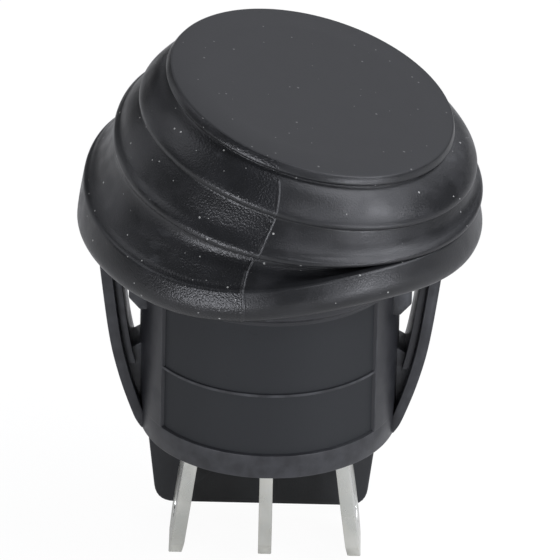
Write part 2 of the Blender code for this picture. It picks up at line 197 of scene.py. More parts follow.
def makeFloor(room, height):
    half = room["floorSize"] / 2
    mesh = bpy.data.meshes.new("floor")
    corners = [(-half, -half, height), (half, -half, height), (half, half, height), (-half, half, height)]
    mesh.from_pydata(corners, [], [(0, 1, 2, 3)])
    floor = bpy.data.objects.new("floor", mesh)
    scene.collection.objects.link(floor)
    paper = bpy.data.materials.new("palePaper")
    paper.use_nodes = True
    tree = paper.node_tree
    shader = tree.nodes["Principled BSDF"]
    feed(tree, shader.inputs["Base Color"], (*room["floorColour"], 1))
    feed(tree, shader.inputs["Roughness"], room["floorRoughness"])
    feed(tree, shader.inputs["Specular IOR Level"], room["floorShine"])
    glow = put(tree, "ShaderNodeEmission", Strength=room["glow"])
    path = tree.nodes.new("ShaderNodeLightPath")
    direct = times(tree, seenDirectly(tree, path), room["floorShow"])
    mirrored = times(tree, path.outputs["Is Glossy Ray"], room["floorGloss"])
    mix = put(tree, "ShaderNodeMixShader", Fac=math2(tree, "MAXIMUM", direct, mirrored))
    feed(tree, mix.inputs[1], shader.outputs[0])
    feed(tree, mix.inputs[2], glow.outputs[0])
    feed(tree, tree.nodes["Material Output"].inputs["Surface"], mix.outputs[0])
    mesh.materials.append(paper)


placeCamera(cameraSet)
addLamps(lampSet)
makeWorld(roomSet)
makeFloor(roomSet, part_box("terminal_middle")[0].z)
scene.view_settings.view_transform = "Standard"
print("camera, lamps and floor placed")


# Shared effects for the finishes

def buildGrain():
    # fine moulded grain: small noise broken up by shallow pebbles
    group, into, out = newGroup("mouldedGrain", {"Position": "Vector", "Scale": 5000.0, "Pebbles": 0.4},
                                {"Height": "Float", "Patches": "Float"})
    place, scale = into.outputs["Position"], into.outputs["Scale"]
    fine = put(group, "ShaderNodeTexNoise", Vector=place, Scale=scale, Detail=3.0, Roughness=0.6)
    cells = put(group, "ShaderNodeTexVoronoi", {"feature": "SMOOTH_F1"}, Vector=place, Scale=scale,
                Smoothness=0.6)
    pebble = times(group, cells.outputs["Distance"], into.outputs["Pebbles"])
    height = math2(group, "SUBTRACT", fine.outputs[0], pebble)
    patches = put(group, "ShaderNodeTexNoise", Vector=place, Scale=times(group, scale, 0.07), Detail=2.0)
    feed(group, out.inputs["Height"], height)
    feed(group, out.inputs["Patches"], ramp(group, patches.outputs[0], 0.35, 0.68))
    return group


def buildDust():
    # scattered specks of dust, each a small round dot in its own cell
    group, into, out = newGroup(
        "dustSpecks", {"Position": "Vector", "Scale": 1400.0, "Radius": 0.10, "Share": 0.12},
        {"Mask": "Float"})
    cells = put(group, "ShaderNodeTexVoronoi", {"feature": "F1"}, Vector=into.outputs["Position"],
                Scale=into.outputs["Scale"], Randomness=1.0)
    chance = put(group, "ShaderNodeSeparateColor", Color=cells.outputs["Color"])
    wanted = math2(group, "LESS_THAN", chance.outputs[0], into.outputs["Share"])
    size = times(group, into.outputs["Radius"], chance.outputs[1])
    near = math2(group, "LESS_THAN", cells.outputs["Distance"], size)
    feed(group, out.inputs["Mask"], times(group, wanted, near))
    return group


def buildWear():
    # edges rubbed paler, broken up so that the line is never even
    group, into, out = newGroup("rubbedEdges", {"Position": "Vector", "Low": 0.52, "High": 0.62},
                                {"Mask": "Float"})
    shape = group.nodes.new("ShaderNodeNewGeometry")
    reach = put(group, "ShaderNodeMapRange", Value=shape.outputs["Pointiness"],
                From_Min=into.outputs["Low"], From_Max=into.outputs["High"])
    broken = put(group, "ShaderNodeTexNoise", Vector=into.outputs["Position"], Scale=1300.0, Detail=3.0)
    mask = times(group, reach.outputs["Result"], ramp(group, broken.outputs[0], 0.3, 0.7))
    feed(group, out.inputs["Mask"], times(group, mask, 1.0, clamp=True))
    return group


def buildScratches():
    # faint long rub marks in two directions
    group, into, out = newGroup("rubMarks", {"Position": "Vector", "Scale": 500.0}, {"Mask": "Float"})
    masks = []
    for turn, stretch in (((0.3, 0.2, 0.6), (1, 14, 3)), ((0.1, 0.7, -0.5), (16, 2, 4))):
        mapped = put(group, "ShaderNodeMapping", Vector=into.outputs["Position"], Rotation=turn,
                     Scale=stretch)
        noise = put(group, "ShaderNodeTexNoise", Vector=mapped.outputs[0], Scale=into.outputs["Scale"],
                    Detail=4.0, Roughness=0.7)
        masks.append(ramp(group, noise.outputs[0], 0.62, 0.74))
    feed(group, out.inputs["Mask"], math2(group, "MAXIMUM", *masks))
    return group


effects = {
    "grain": buildGrain(),
    "dust": buildDust(),
    "wear": buildWear(),
    "scratches": buildScratches(),
}


def useEffect(tree, name, place, **values):
    return put(tree, "ShaderNodeGroup", {"node_tree": effects[name]}, Position=place, **values)


def readShare(tree, name):
    return put(tree, "ShaderNodeAttribute", {"attribute_name": name}).outputs["Fac"]


def blendColour(tree, share, first, second):
    node = put(tree, "ShaderNodeMix", {"data_type": "RGBA"}, Factor=share)
    for socket, value in ((node.inputs[6], first), (node.inputs[7], second)):
        feed(tree, socket, (*value, 1.0) if isinstance(value, tuple) else value)
    return node.outputs[2]


def blendValue(tree, share, first, second):
    node = put(tree, "ShaderNodeMix", {"data_type": "FLOAT"}, Factor=share)
    feed(tree, node.inputs[2], first)
    feed(tree, node.inputs[3], second)
    return node.outputs[0]


# What a finish has where its own dictionary says nothing else
commonLook = {
    "metallic": 0.0, "pebbles": 0.4, "wearReach": (0.52, 0.62), "wear": 0.5,
    "marks": 500.0, "markDepth": -0.3, "rub": 0.05,
    "dust": 0.06, "dustScale": 1400.0, "dustRadius": 0.10, "dustShow": 0.6, "dustColour": (0.30, 0.30, 0.29),
}


def startFinish(name, look):
    # a material with the effects that every finish uses
    material = bpy.data.materials.new(name)
    material.use_nodes = True
    material.diffuse_color = (*look["colour"], 1)
    tree = material.node_tree
    feed(tree, tree.nodes["Principled BSDF"].inputs["Metallic"], look["metallic"])
    place = tree.nodes.new("ShaderNodeTexCoord").outputs["Object"]
    low, high = look["wearReach"]
    grain = useEffect(tree, "grain", place, Scale=look["grain"], Pebbles=look["pebbles"])
    wear = useEffect(tree, "wear", place, Low=low, High=high)
    marks = useEffect(tree, "scratches", place, Scale=look["marks"])
    dust = useEffect(tree, "dust", place, Share=look["dust"], Scale=look["dustScale"],
                     Radius=look["dustRadius"])
    return material, tree, {
        "place": place, "height": grain.outputs["Height"], "patches": grain.outputs["Patches"],
        "wear": wear.outputs["Mask"], "marks": marks.outputs["Mask"], "dust": dust.outputs["Mask"],
    }


def finishSurface(tree, colour, roughness, height, depth):
    shader = tree.nodes["Principled BSDF"]
    bump = put(tree, "ShaderNodeBump", Strength=1.0, Distance=depth, Height=height)
    feed(tree, shader.inputs["Normal"], bump.outputs[0])
    feed(tree, shader.inputs["Base Color"], colour)
    feed(tree, shader.inputs["Roughness"], roughness)


def plainFinish(name, ownLook):
    look = commonLook | ownLook
    material, tree, made = startFinish(name, look)
    colour = blendColour(tree, made["patches"], look["colour"], look["second"])
    roughness = ramp(tree, made["patches"], 0.0, 1.0, *look["roughness"])
    if "fieldColour" in look:
        field = readShare(tree, "fieldShare")
        colour = blendColour(tree, field, colour, look["fieldColour"])
        roughness = blendValue(tree, field, roughness, look["fieldRoughness"])
    colour = blendColour(tree, times(tree, made["wear"], look["wear"]), colour, look["rubbed"])
    colour = blendColour(tree, times(tree, made["dust"], look["dustShow"]), colour, look["dustColour"])
    roughness = math2(tree, "ADD", roughness, times(tree, made["marks"], look["rub"]))
    height = math2(tree, "ADD", made["height"], times(tree, made["marks"], look["markDepth"]))
    finishSurface(tree, colour, roughness, height, look["depth"])
    return material


rubberLook = {
    "colour": (0.010, 0.0105, 0.0115), "second": (0.013, 0.0135, 0.015), "rubbed": (0.060, 0.062, 0.066),
    "roughness": (0.33, 0.42), "grain": 9000.0, "pebbles": 0.35, "depth": 0.00002, "sideBump": 0.5,
    "wearReach": (0.505, 0.56), "wear": 0.35, "marks": 420.0,
    "dust": 0.3, "dustScale": 2400.0, "dustRadius": 0.16, "dustShow": 0.8, "dustColour": (0.42, 0.42, 0.40),
    "peelScale": 8500.0, "peelPebbles": 1.4, "peelDepth": 0.62, "peelRoughness": 0.3,
    "topBump": 0.2, "topRoughness": 0.58, "topPatches": 0.3, "topDust": 0.25,
}


def rubberFinish(name, ownLook):
    look = commonLook | ownLook
    material, tree, made = startFinish(name, look)
    peelShare, topShare = readShare(tree, "peelShare"), readShare(tree, "topShare")

    def byPlace(onSide, onTop):
        return ramp(tree, topShare, 0.0, 1.0, onSide, onTop)

    patches = times(tree, made["patches"], byPlace(1.0, look["topPatches"]))
    colour = blendColour(tree, patches, look["colour"], look["second"])
    colour = blendColour(tree, times(tree, made["wear"], byPlace(look["wear"], 0.0)), colour, look["rubbed"])
    specks = times(tree, made["dust"], byPlace(look["dustShow"], look["topDust"]))
    colour = blendColour(tree, specks, colour, look["dustColour"])
    side = ramp(tree, made["patches"], 0.0, 1.0, *look["roughness"])
    side = math2(tree, "ADD", side, times(tree, made["marks"], look["rub"]))
    peeled = blendValue(tree, peelShare, side, look["peelRoughness"])
    roughness = blendValue(tree, topShare, peeled, look["topRoughness"])
    peel = useEffect(tree, "grain", made["place"], Scale=look["peelScale"], Pebbles=look["peelPebbles"])
    rough = times(tree, peel.outputs["Height"], times(tree, peelShare, look["peelDepth"]))
    fine = times(tree, made["height"], byPlace(look["sideBump"], look["topBump"]))
    finishSurface(tree, colour, roughness, math2(tree, "ADD", fine, rough), look["depth"])
    return material


housingLook = {
    "colour": (0.017, 0.0175, 0.020), "second": (0.021, 0.0215, 0.0245), "rubbed": (0.13, 0.135, 0.145),
    "roughness": (0.36, 0.47), "grain": 9000.0, "pebbles": 0.3, "depth": 0.000005,
    "fieldColour": (0.0085, 0.010, 0.012), "fieldRoughness": 0.70,
    "wearReach": (0.51, 0.60), "wear": 0.45, "marks": 650.0, "markDepth": 0.0, "rub": 0.07,
    "dust": 0.05, "dustScale": 1700.0, "dustShow": 0.5,
}


finishLooks = {
    # base plate and barrier: a dark, rougher plastic whose colour is also lowered below the housing's as
    # painted shade for the shadow under the body
    "barrierPlasticWithPaintedShade": {
        "colour": (0.014, 0.015, 0.017), "second": (0.019, 0.020, 0.022), "rubbed": (0.06, 0.06, 0.065),
        "roughness": (0.50, 0.60), "grain": 8000.0, "depth": 0.000006, "dust": 0.05,
    },
    "innerPlastic": {
        "colour": (0.030, 0.031, 0.033), "second": (0.038, 0.039, 0.041), "rubbed": (0.09, 0.09, 0.10),
        "roughness": (0.36, 0.46), "grain": 8000.0, "depth": 0.000005,
    },
    "sealRubber": {
        "colour": (0.015, 0.015, 0.016), "second": (0.021, 0.021, 0.022), "rubbed": (0.05, 0.05, 0.05),
        "roughness": (0.52, 0.64), "grain": 9000.0, "depth": 0.000006,
    },
    "tinPlate": {
        "colour": (0.66, 0.67, 0.63), "second": (0.76, 0.76, 0.71), "rubbed": (0.72, 0.66, 0.50),
        "roughness": (0.26, 0.38), "grain": 5200.0, "depth": 0.000004, "metallic": 1.0, "marks": 900.0,
        "wear": 0.35, "rub": 0.12, "dust": 0.03,
    },
    "copperBlade": {
        "colour": (0.66, 0.37, 0.24), "second": (0.78, 0.46, 0.31), "rubbed": (0.88, 0.60, 0.45),
        "roughness": (0.24, 0.36), "grain": 5200.0, "depth": 0.000004, "metallic": 1.0, "marks": 900.0,
        "rub": 0.12, "dust": 0.02,
    },
    "contactSilver": {
        "colour": (0.80, 0.79, 0.76), "second": (0.90, 0.89, 0.86), "rubbed": (0.96, 0.95, 0.93),
        "roughness": (0.16, 0.28), "grain": 6000.0, "depth": 0.000003, "metallic": 1.0, "marks": 1200.0,
        "rub": 0.10, "dust": 0.0,
    },
    "springSteel": {
        "colour": (0.52, 0.53, 0.54), "second": (0.61, 0.62, 0.62), "rubbed": (0.75, 0.75, 0.75),
        "roughness": (0.22, 0.32), "grain": 9000.0, "depth": 0.000003, "metallic": 1.0, "marks": 1500.0,
        "rub": 0.08, "dust": 0.0,
    },
    "plungerPlastic": {
        "colour": (0.74, 0.73, 0.68), "second": (0.80, 0.79, 0.74), "rubbed": (0.66, 0.64, 0.58),
        "roughness": (0.34, 0.44), "grain": 8000.0, "depth": 0.000004, "dust": 0.02,
    },
}
finishes = {name: plainFinish(name, look) for name, look in finishLooks.items()}
finishes["bootRubber"] = rubberFinish("bootRubber", rubberLook)
finishes["housingPlastic"] = plainFinish("housingPlastic", housingLook)
print("finishes made:", len(finishes))


# Helpers for the pieces

def paint(item, finish):
    item.data.materials.clear()
    item.data.materials.append(finishes[finish])


def linkPiece(name, mesh, finish=None):
    item = bpy.data.objects.new(name, mesh)
    scene.collection.objects.link(item)
    if finish:
        paint(item, finish)
    return item


def meshFrom(name, shape, smooth=True):
    bmesh.ops.recalc_face_normals(shape, faces=shape.faces)
    mesh = bpy.data.meshes.new(name)
    shape.to_mesh(mesh)
    shape.free()
    if smooth:
        mesh.shade_smooth()
    else:
        mesh.shade_flat()
    return mesh


def markSharp(mesh, angle):
    shape = bmesh.new()
    shape.from_mesh(mesh)
    for edge in shape.edges:
        edge.smooth = not (len(edge.link_faces) == 2 and edge.calc_face_angle() > math.radians(angle))
    shape.to_mesh(mesh)
    shape.free()


def clamp(value):
    return max(0.0, min(1.0, value))


def around(angle, middle):
    # degrees from the middle, between -180 and 180
    return (angle - middle + 180) % 360 - 180


def circle(radius, steps, up=0.0):
    return [(radius * math.cos(math.tau * n / steps), up + radius * math.sin(math.tau * n / steps))
            for n in range(steps)]


def facing(side, outline):
    return outline if side > 0 else [(-x, z) for x, z in reversed(outline)]


straightTurn = 174
longestCut = 0.45


def roundedLoop(points, radius=0.0, steps=4):
    # rounds each corner of a closed outline; a point may carry its own radius
    made = []
    for number, point in enumerate(points):
        here, before = Vector(point[:2]), Vector(points[number - 1][:2])
        after = Vector(points[(number + 1) % len(points)][:2])
        own = point[2] if len(point) > 2 else radius
        toBefore, toAfter = before - here, after - here
        turn = toBefore.angle(toAfter)
        if own <= 0 or turn > math.radians(straightTurn):
            made.append(tuple(here))
            continue
        cut = min(own / math.tan(turn / 2), toBefore.length * longestCut, toAfter.length * longestCut)
        start, stop = here + toBefore.normalized() * cut, here + toAfter.normalized() * cut
        for step in range(steps + 1):
            share = step / steps
            made.append(tuple(start.lerp(here, share).lerp(here.lerp(stop, share), share)))
    return made


def extrudeLoop(name, outline, low, high, axis="Y"):
    shape = bmesh.new()
    sides = []
    for level in (low, high):
        ring = []
        for first, second in outline:
            spots = {"X": (level, first, second), "Y": (first, level, second), "Z": (first, second, level)}
            ring.append(shape.verts.new(spots[axis]))
        sides.append(ring)
    shape.faces.new(sides[0])
    shape.faces.new(list(reversed(sides[1])))
    for step in range(len(outline)):
        after = (step + 1) % len(outline)
        shape.faces.new((sides[0][step], sides[1][step], sides[1][after], sides[0][after]))
    return meshFrom(name, shape, smooth=False)


def bridgeRings(shape, rings):
    # joins each ring to the next and the last to the first; a ring may be a single point
    for low, high in zip(rings, rings[1:] + rings[:1]):
        steps = max(len(low), len(high))
        for step in range(steps if steps > 1 else 0):
            after = (step + 1) % steps
            corners = [low[step % len(low)], low[after % len(low)],
                       high[after % len(high)], high[step % len(high)]]
            shape.faces.new([c for n, c in enumerate(corners) if c not in corners[:n]])


def settle(item):
    # turns an object with its modifiers into a plain mesh
    graph = bpy.context.evaluated_depsgraph_get()
    graph.update()
    mesh = bpy.data.meshes.new_from_object(
        item.evaluated_get(graph), preserve_all_data_layers=True, depsgraph=graph)
    item.modifiers.clear()
    old = item.data
    item.data = mesh
    bpy.data.meshes.remove(old)
    return item


def cutOrJoin(item, tool, operation):
    change = item.modifiers.new(tool.name, "BOOLEAN")
    change.operation = operation
    change.solver = "EXACT"
    change.object = tool
    settle(item)
    bpy.data.objects.remove(tool, do_unlink=True)


creaseAngle = 38


def softenEdges(item, width, segments, angle):
    edge = item.modifiers.new("softEdge", "BEVEL")
    edge.width = width
    edge.segments = segments
    edge.limit_method = "ANGLE"
    edge.angle_limit = math.radians(angle)
    edge.use_clamp_overlap = True
    settle(item)
    item.data.shade_smooth()
    markSharp(item.data, creaseAngle)


def joinPieces(name, items):
    shape = bmesh.new()
    for item in items:
        shape.from_mesh(item.data)
        bpy.data.objects.remove(item, do_unlink=True)
    mesh = bpy.data.meshes.new(name)
    shape.to_mesh(mesh)
    shape.free()
    return mesh


def closeTree(tree, geometry, into, out):
    real = put(tree, "GeometryNodeRealizeInstances", Geometry=geometry)
    painted = put(tree, "GeometryNodeSetMaterial", Geometry=real.outputs[0], Material=into.outputs["Finish"])
    feed(tree, out.inputs[0], painted.outputs[0])


def applyTree(item, tree, values):
    change = item.modifiers.new(tree.name, "NODES")
    change.node_group = tree
    for socket in tree.interface.items_tree:
        if socket.in_out == "INPUT" and socket.name in values:
            change[socket.identifier] = values[socket.name]
    settle(item)


# Boot: an upright moulding, leaned over the rocker by a node tree

bootSet = {
    "flangeRadius": 10.5 * mm,
    "top": 9.35 * mm,
    "wall": 0.9 * mm,
    "topInset": 1.9 * mm,
    "topLow": 9.3 * mm,
    "topRings": (0.62, 0.30, 0.0),
    "steps": 256,
    "tilt": 13.6,
    "frontLean": 5.0,
    "leanStart": 1.2,
    "leanFull": 4.2,
    "raisedRound": 0.03,
    "seamAngle": -100.5,
    "seamTop": 8.3 * mm,
    "seamHeight": 0.055 * mm,
    "seamHalfWidth": 0.55,
    "seamClear": 1.6,
    "seamColumns": (-1.5, -1.0, -0.6, -0.3, 0.0, 0.3, 0.6, 1.0, 1.5),
    "seamWander": 0.9,
    "wanderWave": (1.1, 0.4),
    "wanderReach": 9.0,
    "peelReach": 48.0,
    "peelFade": 0.7,
    "sags": ((-120.0, 30.0, -0.50 * mm), (-62.0, 28.0, 0.60 * mm)),
    "sagReach": 0.6 * mm,
    "sagFade": (2.2, 2.4 * mm),
    "rimLift": {"angle": 152.0, "spread": 36.0, "rise": 1.35 * mm, "from": 0.9, "over": 1.5, "to": 4.3,
                "fade": 1.6},
    "ridgeLift": {"angle": 150.0, "spread": 34.0, "rise": 0.8 * mm, "from": 2.6, "over": 1.6, "to": 6.5,
                  "fade": 1.6},
}

# Radius from the flange's edge and height in mm, share of the rocker's tilt, pull on the raised
# side and slide towards the pressed side in mm, and 1 where the corner is hard.
bootOutside = [
    (0.55, 0.0, 0, 0, 0.1, 1), (0.75, 0.02, 0, 0, 0.3, 0), (1.0, 0.1, 0, 0, 0.4, 0),
    (1.22, 0.3, 0, 0, 0.45, 0), (1.35, 0.6, 0, 0, 0.45, 0), (1.38, 0.9, 0, 0, 0.45, 0),
    (1.32, 1.3, 0, 0, 0.45, 0), (1.22, 1.74, 0, 0, 0.45, 0), (1.1, 2.2, 0, 0, 0.45, 0),
    (1.03, 2.42, 0, 0, 0.45, 0), (0.93, 2.53, 0.01, 0, 0.45, 0), (0.77, 2.6, 0.03, 0, 0.45, 0),
    (0.45, 2.76, 0.08, 0.08, 0.46, 0), (0.14, 2.96, 0.15, 0.2, 0.48, 0), (-0.14, 3.2, 0.24, 0.36, 0.52, 0),
    (-0.36, 3.5, 0.35, 0.5, 0.58, 0), (-0.44, 3.82, 0.44, 0.55, 0.62, 0), (-0.36, 4.06, 0.52, 0.5, 0.66, 0),
    (-0.1, 4.2, 0.58, 0.38, 0.7, 0), (0.2, 4.27, 0.61, 0.24, 0.75, 0), (0.38, 4.35, 0.63, 0.12, 0.8, 0),
    (0.44, 4.49, 0.635, 0.08, 0.8, 0), (0.4, 4.67, 0.64, 0.08, 0.8, 0), (0.26, 4.83, 0.65, 0.1, 0.8, 0),
    (0.08, 4.98, 0.66, 0.16, 0.8, 0), (-0.11, 5.21, 0.69, 0.24, 0.78, 0), (-0.29, 5.52, 0.74, 0.3, 0.74, 0),
    (-0.46, 5.88, 0.79, 0.3, 0.7, 0), (-0.61, 6.22, 0.84, 0.24, 0.65, 0), (-0.69, 6.46, 0.88, 0.15, 0.6, 0),
    (-0.6, 6.56, 0.89, 0.08, 0.6, 0), (-0.45, 6.63, 0.89, 0.05, 0.6, 0), (-0.39, 6.77, 0.9, 0.05, 0.6, 0),
    (-0.42, 6.95, 0.9, 0.05, 0.57, 0), (-0.56, 7.2, 0.92, 0.07, 0.53, 0), (-0.81, 7.52, 0.93, 0.1, 0.47, 0),
    (-1.1, 7.85, 0.95, 0.12, 0.38, 0), (-1.42, 8.16, 0.97, 0.08, 0.25, 0), (-1.74, 8.42, 0.99, 0, 0.12, 0),
    (-1.95, 8.57, 1, 0, 0.04, 0), (-2.01, 8.67, 1, 0, 0, 0), (-1.94, 8.75, 1, 0, 0, 0),
    (-1.84, 8.81, 1, 0, 0, 0), (-1.81, 8.9, 1, 0, 0, 0), (-1.86, 9.07, 1, 0, 0, 0),
    (-1.93, 9.22, 1, 0, 0, 0), (-1.99, 9.3, 1, 0, 0, 0), (-2.1, 9.35, 1, 0, 0, 1),
]
bootInside = [
    (-3.1, 8.45, 1, 0, 0, 1), (-3.1, 7.95, 1, 0, 0, 1), (-1.6, 7.2, 1, 0, 0, 1), (-1.6, 6.95, 1, 0, 0, 1),
    (-2.4, 6.7, 1, 0, 0, 1), (-2.4, 5.8, 1, 0, 0, 1), (-0.6, 5.3, 0.9, 0, 0.1, 1),
    (-0.6, 5.1, 0.86, 0.2, 0.2, 1), (-1.7, 4.3, 0.6, 1.3, 0.3, 0), (-1.7, 3.1, 0.36, 1.3, 0.2, 0),
    (-1.2, 1.75, 0.05, 0.7, 0, 1), (0.2, 1.5, 0, 0, 0, 1), (0.2, 0.4, 0, 0, 0, 1), (-2.05, 0.4, 0, 0, 0, 1),
    (-2.05, 0.15, 0, 0, 0, 1), (-0.25, 0.15, 0, 0, 0, 1), (-0.1, 0.0, 0, 0, 0, 1),
]


def curveThrough(points, perSpan):
    # a smooth line through the points, straight where both ends are hard
    made = []
    for number in range(len(points) - 1):
        one, two = points[number], points[number + 1]
        before = points[number - 1] if number and not one[5] else one
        after = points[number + 2] if number + 2 < len(points) and not two[5] else two
        count = 1 if one[5] and two[5] else perSpan
        for step in range(count):
            t = step / count
            spot = []
            for a, b, c, d in zip(before[:5], one[:5], two[:5], after[:5]):
                spot.append(0.5 * (2 * b + (c - a) * t + (2 * a - 5 * b + 4 * c - d) * t * t
                                   + (3 * b - a - 3 * c + d) * t ** 3))
            made.append(tuple(spot))
    made.append(points[-1][:5])
    return made


def seamColumns(look):
    # even columns round the boot, closer together beside the two mould lines
    angles = [360 * step / look["steps"] for step in range(look["steps"])]
    width = look["seamHalfWidth"]
    for seam in (look["seamAngle"] % 360, (look["seamAngle"] + 180) % 360):
        angles = [a for a in angles if abs(around(a, seam)) > look["seamClear"] * width]
        angles += [(seam + share * width) % 360 for share in look["seamColumns"]]
    return sorted(angles)


def bootRows(look):
    # round the section: radius, height, share of the tilt, pull, slide, and 1 on the outside
    base, top = look["flangeRadius"], look["top"]
    skin, lining = (
        [(base + r * mm, h * mm, share, pull * mm, slide * mm, outer)
         for r, h, share, pull, slide in curveThrough(points, perSpan)]
        for points, perSpan, outer in ((bootOutside, 4, 1.0), (bootInside, 3, 0.0)))
    crown = [(base * part, top, 1, 0, 0, 1.0) for part in look["topRings"]]
    return skin + crown + [(0.0, top - look["wall"], 1, 0, 0, 0.0)] + lining


def outwardFrom(before, after):
    along = Vector((after[0] - before[0], after[1] - before[1]))
    return Vector((along.y, -along.x)).normalized() if along.length > 0 else Vector((0, 0))


def bell(angle, middle, spread):
    return math.exp(-(around(angle, middle) / spread) ** 2)


def wallRise(column, radius, height, look):
    # the rim's sags, and the lifts of the rim and the lower ridge on the raised side
    fade, over = look["sagFade"]
    free = clamp((radius - look["flangeRadius"]) / look["sagReach"]) * clamp(fade - height / over)
    rise = sum(most * free * bell(column, middle, spread) for middle, spread, most in look["sags"])
    tall = height / mm
    for lift in (look["rimLift"], look["ridgeLift"]):
        share = clamp(min((tall - lift["from"]) / lift["over"], (lift["to"] - tall) / lift["fade"]))
        rise += lift["rise"] * share * bell(column, lift["angle"], lift["spread"])
    return rise


def makeBootMesh(look):
    rows, columns = bootRows(look), seamColumns(look)
    shape = bmesh.new()
    layers = {name: shape.verts.layers.float.new(name)
              for name in ("tiltShare", "leanShare", "pullOut", "slide", "peelShare", "topShare")}
    rings = []
    for number, (radius, height, share, pull, slide, outer) in enumerate(rows):
        outward = outwardFrom(rows[number - 1], rows[(number + 1) % len(rows)])
        wave, phase = look["wanderWave"]
        wander = look["seamWander"] * math.sin(height / mm * wave + phase)
        onTop = outer and radius < look["flangeRadius"] - look["topInset"] and height > look["topLow"]
        topShare = 1.0 if onTop else 0.0
        lean = clamp((height / mm - look["leanStart"]) / (look["leanFull"] - look["leanStart"]))
        ring = []
        for column in columns if radius > 0 else [0.0]:
            toSeam = around(column, look["seamAngle"])
            toBack = around(column, look["seamAngle"] + 180)
            nearest = toSeam if abs(toSeam) < 90 else toBack
            ridge = max(0.0, 1 - (nearest / look["seamHalfWidth"]) ** 2) if height < look["seamTop"] else 0.0
            lift = ridge * look["seamHeight"] * outer
            angle = math.radians(column + wander * max(0.0, 1 - abs(nearest) / look["wanderReach"]))
            away = radius + outward.x * lift
            up = height + outward.y * lift + wallRise(column, radius, height, look) * outer
            vert = shape.verts.new((away * math.cos(angle), away * math.sin(angle), up))
            peel = clamp(1 + toSeam / look["peelReach"]) ** look["peelFade"] if toSeam <= 0 else 0.0
            values = {"tiltShare": share, "leanShare": lean, "pullOut": pull, "slide": slide,
                      "peelShare": peel * outer * (1 - topShare), "topShare": topShare}
            for name, value in values.items():
                vert[layers[name]] = value
            ring.append(vert)
        rings.append(ring)
    bridgeRings(shape, rings)
    return meshFrom("boot", shape)


def buildLeanTree(look):
    tree, into, out = newGroup(
        "leanOverRocker", {"Geometry": "Geometry", "Tilt": 0.0, "Front Lean": 0.0, "Finish": "Material"},
        {"Geometry": "Geometry"}, "GeometryNodeTree")

    def read(name):
        node = put(tree, "GeometryNodeInputNamedAttribute", {"data_type": "FLOAT"}, Name=name)
        return node.outputs["Attribute"]

    def calc(operation, first, second=0.0):
        return math2(tree, operation, first, second)

    def by(first, second):
        return times(tree, first, second)

    spot = tree.nodes.new("GeometryNodeInputPosition")
    x, y, z = put(tree, "ShaderNodeSeparateXYZ", Vector=spot.outputs[0]).outputs
    radius = calc("SQRT", calc("ADD", by(x, x), by(y, y)))
    safe = calc("MAXIMUM", radius, 1e-7)
    cosine, sine = calc("DIVIDE", x, safe), calc("DIVIDE", y, safe)
    spread = calc("SQRT", calc("ADD", by(cosine, cosine), look["raisedRound"]))
    raised = by(calc("SUBTRACT", spread, cosine), 0.5)
    reach = calc("ADD", radius, by(read("pullOut"), by(raised, raised)))
    xOut, yOut = by(reach, cosine), by(reach, sine)
    lean = by(into.outputs["Front Lean"], read("leanShare"))
    lifted = calc("ADD", z, by(yOut, calc("SINE", lean)))
    tilt = by(into.outputs["Tilt"], read("tiltShare"))
    cosTilt, sinTilt = calc("COSINE", tilt), calc("SINE", tilt)
    xTilted = calc("ADD", by(xOut, cosTilt), by(lifted, sinTilt))
    zTilted = calc("SUBTRACT", by(lifted, cosTilt), by(xOut, sinTilt))
    together = put(tree, "ShaderNodeCombineXYZ", X=calc("ADD", xTilted, read("slide")),
                   Y=by(yOut, calc("COSINE", lean)), Z=zTilted)
    move = put(tree, "GeometryNodeSetPosition", Geometry=into.outputs["Geometry"],
               Position=together.outputs[0])
    closeTree(tree, move.outputs[0], into, out)
    return tree


def makeBoot(look):
    boot = linkPiece("rubberBoot", makeBootMesh(look))
    applyTree(boot, buildLeanTree(look), {
        "Tilt": math.radians(look["tilt"]),
        "Front Lean": math.radians(look["frontLean"]),
        "Finish": finishes["bootRubber"],
    })
    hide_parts("boot")
    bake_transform(boot)


makeBoot(bootSet)
print("boot made")


# Housing: turned barrel with two sunk fields, shoulders and snap-in wings

housingSet = {
    "barrel": 7.65 * mm,
    "bore": 6.5 * mm,
    "bottom": -12.6 * mm,
    "footRing": 1.55 * mm,
    "fieldDepth": 0.2 * mm,
    "fieldHalfAngle": 55.0,
    "fieldWall": 0.4,
    "fieldColumns": (-0.35, -0.14, 0.14, 0.35),
    "fieldClear": 1.2,
    "fieldTop": -2.4 * mm,
    "divider": -7.1 * mm,
    "dividerWidth": 0.16 * mm,
    "dividerHeight": 0.6,
    "collar": 8.15 * mm,
    "flange": 10.5 * mm,
    "steps": 224,
    "pocketRadius": 1.2 * mm,
    "pocketReach": (5.0 * mm, 7.2 * mm),
    "wingWidth": 4.0 * mm,
    "wingFoot": 0.2 * mm,
    "wingTip": 10.1 * mm,
    "wingTop": -0.9 * mm,
    "plate": 0.66 * mm,
    "plateSunk": 0.6 * mm,
    "groove": 0.07 * mm,
    "grooveWeb": 0.5 * mm,
    "overlap": 0.05 * mm,
    "ribWidth": 3.2 * mm,
    "ribLow": -8.6 * mm,
    "rib": 0.42 * mm,
    "webWidth": 2.4 * mm,
    "edge": 0.07 * mm,
    "innerEdge": 0.04 * mm,
    "root": 0.575 * mm,
    "shoulderOut": 8.3 * mm,
    "shoulderHeights": (-0.5 * mm, -3.5 * mm, -4.25 * mm),
    "shoulderHalf": 2.5 * mm,
    "shoulderEdge": 0.08 * mm,
}


def fieldColumns(look):
    # even columns round the barrel, closer together at the sides of the two fields
    angles = [360 * step / look["steps"] for step in range(look["steps"])]
    for middle in (90, 270):
        for side in (-1, 1):
            border = middle + side * look["fieldHalfAngle"]
            angles = [a for a in angles if abs(a - border) > look["fieldClear"]]
            angles += [border + offset for offset in look["fieldColumns"]]
    return sorted(angles)


